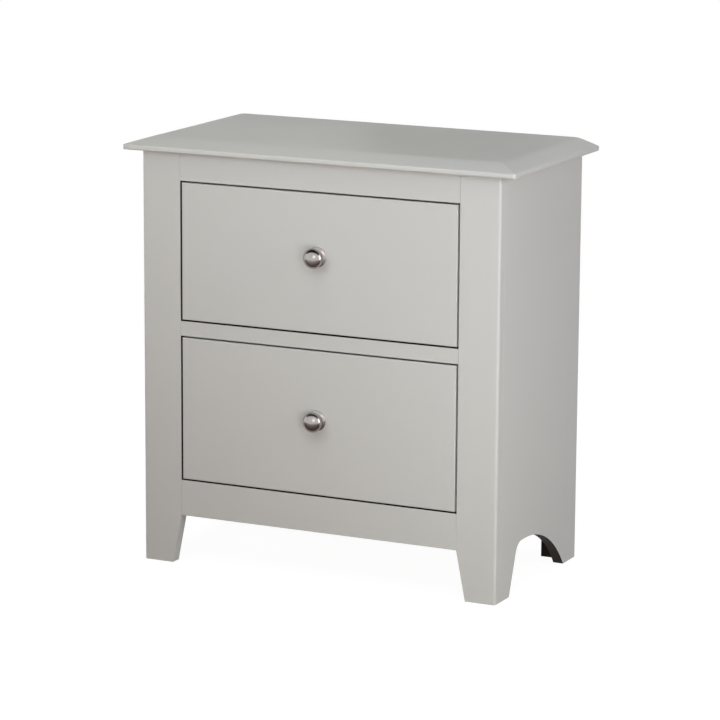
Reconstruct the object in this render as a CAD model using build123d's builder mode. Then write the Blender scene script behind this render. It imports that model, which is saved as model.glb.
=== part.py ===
from build123d import *
import os
from math import radians, tan

# A nightstand with a face frame, two flush drawers on wooden centre guides and a moulded top.
# Millimetres, +Z up. The drawer fronts face -Y. The origin is on the floor, under the middle of
# the object's box, which runs from the knobs' faces to the back.

# Case and face frame
case_width = 570.0
case_depth = 300.0
stile_width = 62.0
frame_thickness = 18.0
foot_height = 74.0
foot_taper = 14.5
bottom_rail_height = 53.5
lower_opening_height = 218.0
middle_rail_height = 22.0
upper_opening_height = 208.0
top_rail_height = 41.5
stile_corner_radius = 4.0
web_depth = 46.0
tenon_length = 20.0
tenon_thickness = 6.0
tenon_shoulder = 5.0
tenon_clearance = 0.1

# Moulded top
top_thickness = 18.0
top_side_overhang = 26.0
top_front_overhang = 13.0
bevel_width = 33.0
bevel_shoulder_radius = 45.0
lip_height = 7.5
lip_edge_radius = 2.5
top_corner_radius = 4.0

# Side panels and the arch between their feet
side_thickness = 16.0
arch_front_foot = 50.0
arch_rear_foot = 45.0
arch_height = 74.5
arch_front_angle = 69.0
arch_crown_length = 31.0
arch_shoulder_radius = 22.0

# Back, cleats and corner blocks
rear_post_width = 30.0
rear_frame_thickness = 15.0
back_panel_thickness = 4.0
back_panel_inset = 1.5
cleat_size = 20.0
corner_block_leg = 40.0
corner_block_lift = 2.0

# Centre guides
track_web_width = 14.0
track_web_height = 6.0
track_flange_width = 30.0
track_flange_height = 5.0
track_front_gap = 4.0
clip_gap = 0.5
clip_wall = 3.5
clip_length = 20.0
clip_stop_drop = 5.0
clip_tab_width = 58.0
clip_tab_height = 26.0
clip_tab_thickness = 3.0
stop_gap = 0.5
glide_diameter = 12.0
glide_height = 1.5
running_gap = 0.3

# Drawers
front_side_gap = 3.0
front_end_gap = 2.5
front_thickness = 18.0
front_edge_radius = 1.2
box_thickness = 12.0
box_side_clearance = 6.0
box_drop = 34.0
box_edge_radius = 2.0
bottom_thickness = 4.0
bottom_rise = 15.0
groove_depth = 5.0
tail_count = 4
tail_width = 25.0
tail_slope = 1 / 7

# Knobs
knob_base_radius = 15.0
knob_base_edge = 1.5
knob_neck_radius = 7.0
knob_neck_reach = 5.0
knob_neck_length = 3.0
knob_head_radius = 14.7
knob_head_reach = 11.6
knob_rim_depth = 4.4
knob_rim_radius = 5.0
knob_dome_rise = 8.5
upper_knob_rise = 9.5
lower_knob_rise = 4.4

# Fasteners
screw_radius = 2.0
screw_head_radius = 4.0
screw_head_height = 2.2
screw_hold = 12.0
knob_screw_hold = 10.0
hole_clearance = 0.1
hole_end_gap = 1.0
front_screw_inset = 70.0
clip_screw_spacing = 44.0

# Places that follow from the sizes
knob_projection = knob_head_reach + knob_rim_depth + knob_dome_rise
total_depth = knob_projection + case_depth
front_y = knob_projection - total_depth / 2
back_y = front_y + case_depth
frame_back_y = front_y + frame_thickness
web_back_y = frame_back_y + web_depth
back_panel_back_y = back_y - back_panel_inset
back_panel_y = back_panel_back_y - back_panel_thickness
rear_frame_y = back_panel_y - rear_frame_thickness

case_half = case_width / 2
side_inner = case_half - side_thickness
opening_half = case_half - stile_width
rear_rail_half = side_inner - rear_post_width

lower_opening_z = foot_height + bottom_rail_height
middle_rail_z = lower_opening_z + lower_opening_height
upper_opening_z = middle_rail_z + middle_rail_height
top_rail_z = upper_opening_z + upper_opening_height
case_top_z = top_rail_z + top_rail_height
top_z = case_top_z + top_thickness

box_half = opening_half - box_side_clearance
box_inner = box_half - box_thickness
box_front_y = front_y + front_thickness
box_back_y = rear_frame_y - stop_gap - clip_length
track_front_y = box_front_y + box_thickness + track_front_gap
track_height = track_web_height + track_flange_height

CENTRED_DOWN = (Align.CENTER, Align.CENTER, Align.MAX)
CENTRED_UP = (Align.CENTER, Align.CENTER, Align.MIN)
X_AXIS = (1, 0, 0)
Z_AXIS = (0, 0, 1)
FRONTWARD = (0, -1, 0)
BACKWARD = (0, 1, 0)

os.makedirs("parts", exist_ok=True)


def keep(piece, label):
    """Label a finished piece and write its file."""
    piece.part.label = label
    export_step(piece.part, f"parts/{label}.step")


def plain_board(label, x_span, y_span, z_span):
    """Make a square-edged board from its low and high faces on each axis."""
    with BuildPart() as board:
        with BuildSketch(Plane.XY.offset(z_span[0])):
            with Locations((sum(x_span) / 2, sum(y_span) / 2)):
                Rectangle(x_span[1] - x_span[0], y_span[1] - y_span[0])
        extrude(amount=z_span[1] - z_span[0])
    keep(board, label)


def seat(x, y, z, outward):
    """A plane for a screw or a hole, with its normal pointing out of the hole's mouth."""
    across = X_AXIS if outward[0] == 0 else Z_AXIS
    return Plane(origin=(x, y, z), x_dir=across, z_dir=outward)


def screw_set(label, seats, reach, flush):
    """Make one screw on each seat, with a flush conical head or a raised round one."""
    with BuildPart() as screws:
        with Locations(*seats):
            Cylinder(screw_radius, reach, align=CENTRED_DOWN)
            if flush:
                Cone(screw_radius, screw_head_radius, screw_head_height, align=CENTRED_DOWN)
            else:
                Cylinder(screw_head_radius, screw_head_height, align=CENTRED_UP)
    keep(screws, label)


# Rails of the face frame, from the low to the high face of each
bottom_rail_span = (foot_height, lower_opening_z)
middle_rail_span = (middle_rail_z, upper_opening_z)
top_rail_span = (top_rail_z, case_top_z)


def tenon_sketch(side, span, play=0.0):
    """Draw a rail's tenon at a stile's inner edge; side is -1 on the left and 1 on the right."""
    end_centre = (side * opening_half, front_y + frame_thickness / 2, sum(span) / 2)
    tenon_height = span[1] - span[0] - 2 * tenon_shoulder
    with BuildSketch(Plane(origin=end_centre, x_dir=BACKWARD, z_dir=(side, 0, 0))) as tenon:
        Rectangle(tenon_thickness + 2 * play, tenon_height + 2 * play)
    return tenon.sketch


# Front stiles, which end in feet tapered on the inside
for side, name in ((-1, "left"), (1, "right")):
    with BuildPart() as stile:
        with BuildSketch(Plane.XZ.offset(-frame_back_y)):
            with BuildLine():
                Polyline(
                    (side * case_half, 0),
                    (side * case_half, case_top_z),
                    (side * opening_half, case_top_z),
                    (side * opening_half, foot_height),
                    (side * (opening_half + foot_taper), 0),
                    close=True,
                )
            make_face()
        extrude(amount=frame_thickness)
        front_edges = stile.edges().filter_by(Axis.Z).group_by(Axis.Y)[0]
        outer_edge = front_edges.sort_by(Axis.X, reverse=side > 0)[0]
        fillet(outer_edge, radius=stile_corner_radius)
        for span in (bottom_rail_span, middle_rail_span, top_rail_span):
            mortise = tenon_sketch(side, span, tenon_clearance)
            extrude(mortise, amount=tenon_length + hole_end_gap, mode=Mode.SUBTRACT)
    keep(stile, f"{name}_front_stile")


def frame_rail(label, span):
    """Make a rail between the stiles, with a tenon at each end."""
    with BuildPart() as rail:
        with BuildSketch(Plane.XY.offset(span[0])):
            with Locations((0, front_y + frame_thickness / 2)):
                Rectangle(2 * opening_half, frame_thickness)
        extrude(amount=span[1] - span[0])
        for side in (-1, 1):
            extrude(tenon_sketch(side, span), amount=tenon_length)
    keep(rail, label)


frame_rail("bottom_rail", bottom_rail_span)
frame_rail("top_rail", top_rail_span)

# Track screws: one into the front rail's web and one into the rear rail of each guide
track_screw_ys = (
    (track_front_y + web_back_y) / 2,
    (rear_frame_y + back_panel_y) / 2,
)


def track_seats(rail_top_z):
    """Seats of one track's screws, on top of its flange."""
    return [seat(0, y, rail_top_z + track_height, Z_AXIS) for y in track_screw_ys]


both_track_seats = track_seats(lower_opening_z) + track_seats(upper_opening_z)
track_screw_reach = track_height + screw_hold
pilot_radius = screw_radius + hole_clearance

# Middle rail, notched round the stiles and widened behind them to reach the side panels
with BuildPart() as middle_rail:
    with BuildSketch(Plane.XY.offset(middle_rail_z)):
        with BuildLine():
            Polyline(
                (-opening_half, front_y),
                (opening_half, front_y),
                (opening_half, frame_back_y),
                (side_inner, frame_back_y),
                (side_inner, web_back_y),
                (-side_inner, web_back_y),
                (-side_inner, frame_back_y),
                (-opening_half, frame_back_y),
                close=True,
            )
        make_face()
    extrude(amount=middle_rail_height)
    for side in (-1, 1):
        extrude(tenon_sketch(side, middle_rail_span), amount=tenon_length)
    with Locations(*track_seats(upper_opening_z)):
        Hole(pilot_radius, track_screw_reach + hole_end_gap)
keep(middle_rail, "middle_rail")

# Web rail behind the bottom rail, as thick as the middle rail
with BuildPart() as bottom_web_rail:
    with BuildSketch(Plane.XY.offset(lower_opening_z - middle_rail_height)):
        with Locations((0, (frame_back_y + web_back_y) / 2)):
            Rectangle(2 * side_inner, web_depth)
    extrude(amount=middle_rail_height)
    with Locations(*track_seats(lower_opening_z)):
        Hole(pilot_radius, track_screw_reach + hole_end_gap)
keep(bottom_web_rail, "bottom_web_rail")

# Side panels with an arch that leaves two feet
arch_rise_run = arch_height / tan(radians(arch_front_angle))
arch_front_y = front_y + arch_front_foot
arch_rear_y = back_y - arch_rear_foot
arch_crown_y = arch_front_y + arch_rise_run

for side, name in ((-1, "left"), (1, "right")):
    with BuildPart() as side_panel:
        with BuildSketch(Plane.YZ.offset(side * (side_inner + side_thickness / 2))):
            with Locations(((frame_back_y + back_y) / 2, case_top_z / 2)):
                Rectangle(back_y - frame_back_y, case_top_z)
            with BuildLine():
                shoulder = FilletPolyline(
                    (arch_front_y, 0),
                    (arch_crown_y, arch_height),
                    (arch_crown_y + arch_crown_length, arch_height),
                    radius=arch_shoulder_radius,
                )
                haunch = TangentArc(shoulder @ 1, (arch_rear_y, 0), tangent=shoulder % 1)
                Line(haunch @ 1, shoulder @ 0)
            make_face(mode=Mode.SUBTRACT)
        extrude(amount=side_thickness / 2, both=True)
    keep(side_panel, f"{name}_side_panel")

# Rear frame and back panel
for side, name in ((-1, "left"), (1, "right")):
    post_xs = sorted((side * side_inner, side * rear_rail_half))
    plain_board(f"{name}_rear_post", post_xs, (rear_frame_y, back_panel_y), (0, case_top_z))


def rear_rail(label, low_z, high_z):
    """Make a rail between the rear posts, bored for a track screw where it carries a track."""
    with BuildPart() as rail:
        with BuildSketch(Plane.XY.offset(low_z)):
            with Locations((0, (rear_frame_y + back_panel_y) / 2)):
                Rectangle(2 * rear_rail_half, rear_frame_thickness)
        extrude(amount=high_z - low_z)
        if high_z < top_rail_z:
            with Locations(*track_seats(high_z)):
                Hole(pilot_radius, track_screw_reach + hole_end_gap)
    keep(rail, label)


rear_rail("rear_bottom_rail", foot_height, lower_opening_z)
rear_rail("rear_middle_rail", middle_rail_z, upper_opening_z)
rear_rail("rear_top_rail", top_rail_z, case_top_z)
plain_board(
    "back_panel",
    (-side_inner, side_inner),
    (back_panel_y, back_panel_back_y),
    (foot_height, case_top_z),
)

# Guide tracks: a T section laid on the front web and the rear rail
for name, rail_top_z in (("lower", lower_opening_z), ("upper", upper_opening_z)):
    with BuildPart() as track:
        with BuildSketch(Plane.XZ.offset(-back_panel_y)):
            with Locations((0, rail_top_z + track_web_height / 2)):
                Rectangle(track_web_width, track_web_height)
            with Locations((0, rail_top_z + track_web_height + track_flange_height / 2)):
                Rectangle(track_flange_width, track_flange_height)
        extrude(amount=back_panel_y - track_front_y)
        with Locations(*track_seats(rail_top_z)):
            CounterSinkHole(pilot_radius, screw_head_radius + hole_clearance)
    keep(track, f"{name}_guide_track")

screw_set("track_screws", both_track_seats, track_screw_reach, flush=True)

# Glides under the drawer sides, pressed on the front rails
glide_x = box_half - box_thickness / 2
glide_y = (frame_back_y + web_back_y) / 2
for name, rail_top_z in (("lower", lower_opening_z), ("upper", upper_opening_z)):
    with BuildPart() as glides:
        with Locations((-glide_x, glide_y, rail_top_z), (glide_x, glide_y, rail_top_z)):
            Cylinder(glide_diameter / 2, glide_height, align=CENTRED_UP)
        chamfer(glides.faces().group_by(Axis.Z)[-1].edges(), length=glide_height / 3)
    keep(glides, f"{name}_rail_glides")

# Cleats that hold the top to the sides
for side, name in ((-1, "left"), (1, "right")):
    cleat_xs = sorted((side * side_inner, side * (side_inner - cleat_size)))
    cleat_ys = (frame_back_y, rear_frame_y)
    plain_board(f"{name}_top_cleat", cleat_xs, cleat_ys, (case_top_z - cleat_size, case_top_z))

# Corner blocks in the angle between each stile and its side panel, under the bottom web
for side, name in ((-1, "left"), (1, "right")):
    with BuildPart() as corner_block:
        with BuildSketch(Plane.XY.offset(foot_height + corner_block_lift)):
            with BuildLine():
                Polyline(
                    (side * side_inner, frame_back_y),
                    (side * (side_inner - corner_block_leg), frame_back_y),
                    (side * side_inner, frame_back_y + corner_block_leg),
                    close=True,
                )
            make_face()
        extrude(amount=bottom_rail_height - middle_rail_height - corner_block_lift)
    keep(corner_block, f"{name}_corner_block")

# Top panel: a plan outline cut by the same edge moulding from the front and from the sides
top_half = case_half + top_side_overhang
top_front_y = front_y - top_front_overhang
lip_z = case_top_z + lip_height

with BuildPart() as top_panel:
    with BuildSketch(Plane.XY.offset(case_top_z)) as plan:
        with Locations((0, (top_front_y + back_y) / 2)):
            Rectangle(2 * top_half, back_y - top_front_y)
        fillet(plan.vertices().group_by(Axis.Y)[0], radius=top_corner_radius)
    extrude(amount=top_thickness)
    with BuildSketch(Plane.XZ.offset(-back_y)) as side_section:
        with BuildLine():
            bevel = FilletPolyline(
                (0, top_z),
                (top_half - bevel_width, top_z),
                (top_half, lip_z),
                radius=bevel_shoulder_radius,
            )
            Polyline(bevel @ 1, (top_half, case_top_z), (0, case_top_z))
            mirror(about=Plane.YZ)
        make_face()
        corner_columns = side_section.vertices().group_by(Axis.X)
        fillet(corner_columns[0] + corner_columns[-1], radius=lip_edge_radius)
    extrude(amount=back_y - top_front_y, mode=Mode.INTERSECT)
    with BuildSketch(Plane.YZ.offset(-top_half)) as front_section:
        with BuildLine():
            bevel = FilletPolyline(
                (back_y, top_z),
                (top_front_y + bevel_width, top_z),
                (top_front_y, lip_z),
                radius=bevel_shoulder_radius,
            )
            Polyline(bevel @ 1, (top_front_y, case_top_z), (back_y, case_top_z), bevel @ 0)
        make_face()
        fillet(front_section.vertices().group_by(Axis.X)[0], radius=lip_edge_radius)
    extrude(amount=2 * top_half, mode=Mode.INTERSECT)
keep(top_panel, "top_panel")


def tail_sketch(plane, end_y, inward, low_z, high_z):
    """Draw a row of dovetails in a box side's plane, widest at the board's end."""
    pitch = (high_z - low_z) / tail_count
    half_end = tail_width / 2
    half_root = half_end - box_thickness * tail_slope
    root_y = end_y + inward * box_thickness
    with BuildSketch(plane) as tails:
        for index in range(tail_count):
            middle = low_z + (index + 0.5) * pitch
            with BuildLine():
                Polyline(
                    (end_y, middle - half_end),
                    (end_y, middle + half_end),
                    (root_y, middle + half_root),
                    (root_y, middle - half_root),
                    close=True,
                )
            make_face()
    return tails.sketch


def drawer(name, opening_z, opening_height, knob_rise):
    """Make one drawer's pieces: its front, dovetailed box, guide clip, knob and screws."""
    front_low_z = opening_z + front_end_gap
    front_high_z = opening_z + opening_height - front_end_gap
    box_low_z = opening_z + glide_height + running_gap
    box_high_z = front_high_z - box_drop
    bottom_z = box_low_z + bottom_rise
    bottom_top_z = bottom_z + bottom_thickness
    knob_z = opening_z + opening_height / 2 + knob_rise
    box_inside_y = box_front_y + box_thickness
    back_inside_y = box_back_y - box_thickness
    groove_half = box_inner + groove_depth

    front_screw_z = (bottom_top_z + box_high_z) / 2
    front_columns = (-box_inner + front_screw_inset, box_inner - front_screw_inset)
    front_seats = [seat(x, box_inside_y, front_screw_z, BACKWARD) for x in front_columns]
    front_screw_reach = box_thickness + screw_hold
    knob_seat = seat(0, box_inside_y, knob_z, BACKWARD)
    knob_screw_reach = box_thickness + front_thickness + knob_screw_hold
    clip_tab_z = bottom_top_z + clip_tab_height / 2
    clip_back_y = box_back_y + clip_tab_thickness
    clip_columns = (-clip_screw_spacing / 2, clip_screw_spacing / 2)
    clip_seats = [seat(x, clip_back_y, clip_tab_z, BACKWARD) for x in clip_columns]
    clip_screw_reach = clip_tab_thickness + box_thickness - hole_end_gap

    # Drawer front, with its front edges eased
    with BuildPart() as front:
        with BuildSketch(Plane.XY.offset(front_low_z)):
            with Locations((0, front_y + front_thickness / 2)):
                Rectangle(2 * (opening_half - front_side_gap), front_thickness)
        extrude(amount=front_high_z - front_low_z)
        fillet(front.faces().sort_by(Axis.Y)[0].edges(), radius=front_edge_radius)
        with Locations(*front_seats):
            Hole(pilot_radius, front_screw_reach + hole_end_gap)
        with Locations(knob_seat):
            Hole(pilot_radius, knob_screw_reach)
    keep(front, f"{name}_drawer_front")

    # Box front and back, cut for the sides' tails
    left_plane = Plane.YZ.offset(-box_half)
    right_plane = Plane.YZ.offset(box_inner)
    front_tails = [tail_sketch(plane, box_front_y, 1, box_low_z, box_high_z)
                   for plane in (left_plane, right_plane)]
    back_tails = [tail_sketch(plane, box_back_y, -1, bottom_top_z, box_high_z)
                  for plane in (left_plane, right_plane)]

    with BuildPart() as box_front:
        with BuildSketch(Plane.XY.offset(box_low_z)):
            with Locations((0, (box_front_y + box_inside_y) / 2)):
                Rectangle(2 * box_half, box_thickness)
        extrude(amount=box_high_z - box_low_z)
        for tails in front_tails:
            extrude(tails, amount=box_thickness, mode=Mode.SUBTRACT)
        with BuildSketch(Plane.XY.offset(bottom_z)):
            with Locations((0, box_inside_y - groove_depth / 2)):
                Rectangle(2 * groove_half, groove_depth)
        extrude(amount=bottom_thickness, mode=Mode.SUBTRACT)
        with Locations(*front_seats, knob_seat):
            Hole(pilot_radius, knob_screw_reach)
    keep(box_front, f"{name}_box_front")

    with BuildPart() as box_back:
        with BuildSketch(Plane.XY.offset(bottom_top_z)):
            with Locations((0, (back_inside_y + box_back_y) / 2)):
                Rectangle(2 * box_half, box_thickness)
        extrude(amount=box_high_z - bottom_top_z)
        for tails in back_tails:
            extrude(tails, amount=box_thickness, mode=Mode.SUBTRACT)
        with Locations(*clip_seats):
            Hole(pilot_radius, clip_screw_reach + hole_end_gap)
    keep(box_back, f"{name}_box_back")

    # Box sides, with tails at both ends and a groove for the bottom
    for index, side_name in enumerate(("left", "right")):
        outer_x = (-box_half, box_inner)[index]
        groove_x = (-groove_half, box_inner)[index]
        with BuildPart() as box_side:
            with BuildSketch(Plane.YZ.offset(outer_x)):
                with BuildLine():
                    Polyline(
                        (box_inside_y, box_low_z),
                        (box_inside_y, box_high_z),
                        (back_inside_y, box_high_z),
                        (back_inside_y, bottom_top_z),
                        (box_back_y, bottom_top_z),
                        (box_back_y, box_low_z),
                        close=True,
                    )
                make_face()
            extrude(amount=box_thickness)
            extrude(front_tails[index], amount=box_thickness)
            extrude(back_tails[index], amount=box_thickness)
            groove_front_y = box_inside_y - groove_depth
            with BuildSketch(Plane.YZ.offset(groove_x)):
                with Locations(((groove_front_y + box_back_y) / 2, (bottom_z + bottom_top_z) / 2)):
                    Rectangle(box_back_y - groove_front_y, bottom_thickness)
            extrude(amount=groove_depth, mode=Mode.SUBTRACT)
            top_edges = box_side.edges().filter_by(Axis.Y).group_by(Axis.Z)[-1]
            fillet(top_edges, radius=box_edge_radius)
        keep(box_side, f"{name}_box_{side_name}_side")

    plain_board(
        f"{name}_drawer_bottom",
        (-groove_half, groove_half),
        (box_inside_y - groove_depth, box_back_y),
        (bottom_z, bottom_top_z),
    )

    # Guide clip: a tab on the box back and a channel whose lips run under the track's flange
    flange_low_z = opening_z + track_web_height
    flange_high_z = opening_z + track_height
    channel_half = track_flange_width / 2 + clip_gap
    clip_half = channel_half + clip_wall
    clip_top_z = flange_high_z + clip_gap + clip_wall
    lip_high_z = flange_low_z - clip_gap
    lip_low_z = lip_high_z - clip_wall
    with BuildPart() as clip:
        with BuildSketch(Plane.XZ.offset(-box_back_y)):
            with BuildLine():
                Polyline(
                    (0, clip_top_z),
                    (clip_half, clip_top_z),
                    (clip_half, opening_z - clip_stop_drop),
                    (channel_half, opening_z - clip_stop_drop),
                    (channel_half, lip_low_z),
                    (track_web_width / 2 + clip_gap, lip_low_z),
                    (track_web_width / 2 + clip_gap, lip_high_z),
                    (channel_half, lip_high_z),
                    (channel_half, flange_high_z + clip_gap),
                    (0, flange_high_z + clip_gap),
                )
                mirror(about=Plane.YZ)
            make_face()
        extrude(amount=-clip_length)
        with BuildSketch(Plane.XZ.offset(-box_back_y)) as tab:
            with Locations((0, (clip_top_z - clip_wall + bottom_top_z + clip_tab_height) / 2)):
                Rectangle(clip_tab_width, bottom_top_z + clip_tab_height - clip_top_z + clip_wall)
            fillet(tab.vertices(), radius=clip_wall)
        extrude(amount=-clip_tab_thickness)
        with Locations(*clip_seats):
            Hole(pilot_radius, clip_screw_reach)
    keep(clip, f"{name}_guide_clip")

    # Knob: a flanged foot, a waisted neck and a mushroom head with a rounded rim and a low dome
    knob_plane = Plane(origin=(0, front_y, knob_z), x_dir=X_AXIS, z_dir=Z_AXIS)
    dome_base = knob_head_reach + knob_rim_depth
    dome_sphere = (knob_head_radius**2 + knob_dome_rise**2) / (2 * knob_dome_rise)
    with BuildPart() as knob:
        with BuildSketch(knob_plane) as knob_section:
            with BuildLine():
                turned = Polyline(
                    (0, 0),
                    (knob_base_radius, 0),
                    (knob_base_radius, -knob_base_edge),
                    (knob_neck_radius, -knob_neck_reach),
                    (knob_neck_radius, -knob_neck_reach - knob_neck_length),
                    (knob_head_radius, -knob_head_reach),
                    (knob_head_radius, -dome_base),
                )
                dome = RadiusArc(turned @ 1, (0, -dome_base - knob_dome_rise), dome_sphere)
                Line(dome @ 1, turned @ 0)
            make_face()
            rim_corner = knob_section.vertices().sort_by_distance(dome @ 0)[0]
            fillet(rim_corner, radius=knob_rim_radius)
        revolve(axis=Axis(knob_plane.origin, FRONTWARD))
        with Locations(knob_seat):
            Hole(pilot_radius, knob_screw_reach + hole_end_gap)
    keep(knob, f"{name}_knob")

    screw_set(f"{name}_front_screws", front_seats, front_screw_reach, flush=False)
    screw_set(f"{name}_clip_screws", clip_seats, clip_screw_reach, flush=False)
    screw_set(f"{name}_knob_screw", [knob_seat], knob_screw_reach, flush=False)


drawer("lower", lower_opening_z, lower_opening_height, lower_knob_rise)
drawer("upper", upper_opening_z, upper_opening_height, upper_knob_rise)
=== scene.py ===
import logging
from dataclasses import dataclass
from enum import Enum
from math import cos, pi, radians, sin

import bmesh
import bpy
from mathutils import Matrix, Vector


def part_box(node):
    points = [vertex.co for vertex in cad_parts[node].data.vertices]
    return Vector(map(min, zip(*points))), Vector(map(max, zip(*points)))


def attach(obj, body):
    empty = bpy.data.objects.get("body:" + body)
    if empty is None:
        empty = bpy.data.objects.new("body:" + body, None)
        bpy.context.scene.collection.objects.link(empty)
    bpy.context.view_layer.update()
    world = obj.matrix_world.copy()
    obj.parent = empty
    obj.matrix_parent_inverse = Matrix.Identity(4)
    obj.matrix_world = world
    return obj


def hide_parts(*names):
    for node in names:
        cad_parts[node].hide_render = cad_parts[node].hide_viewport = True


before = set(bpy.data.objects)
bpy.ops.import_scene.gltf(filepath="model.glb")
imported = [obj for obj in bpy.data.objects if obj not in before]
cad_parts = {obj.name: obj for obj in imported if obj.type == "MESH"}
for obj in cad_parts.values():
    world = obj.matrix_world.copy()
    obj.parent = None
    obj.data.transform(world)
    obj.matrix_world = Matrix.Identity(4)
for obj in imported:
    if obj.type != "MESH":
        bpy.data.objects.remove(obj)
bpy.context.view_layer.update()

log = logging.getLogger("nightstand")

Colour = tuple[float, float, float]
Place = tuple[float, float, float]
Scales = tuple[float, float, float]
Span = tuple[float, float]
Pair = tuple[float, float]
Material = bpy.types.Material
Node = bpy.types.Node
Ring = list[bmesh.types.BMVert]
Shape = bmesh.types.BMesh
Socket = bpy.types.NodeSocket

ORIGIN: Place = (0.0, 0.0, 0.0)
CASE_MIDDLE: Place = (0.0, 0.0, 0.32)
DRAWER_FRONTS: Place = (0.0, -0.15, 0.36)
WHITE: Colour = (1.0, 1.0, 1.0)
BLACK: Colour = (0.0, 0.0, 0.0)
WHOLE: Span = (0.0, 1.0)


class Grain(Enum):
    """Axis that a board's fibres follow."""

    ACROSS = "X"
    DEEP = "Y"
    UPRIGHT = "Z"

    def stretch(self, along: float, across: float) -> Scales:
        """Return texture scales that run slowly along the fibres and fast across them."""
        return tuple(along if axis == self.value else across for axis in "XYZ")


class Side(Enum):
    """Sides of the case, with the sign of x on each."""

    LEFT = -1.0
    RIGHT = 1.0

    @property
    def word(self) -> str:
        """Return the side as the nodes' names spell it."""
        return self.name.lower()


class Body(Enum):
    """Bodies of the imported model."""

    CASE = "case"
    UPPER_DRAWER = "upper_drawer"
    LOWER_DRAWER = "lower_drawer"


class Level(Enum):
    """The two drawers, as the nodes' names spell them."""

    UPPER = "upper"
    LOWER = "lower"

    @property
    def body(self) -> Body:
        """Return the body that moves with this drawer."""
        return Body(f"{self.value}_drawer")


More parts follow.
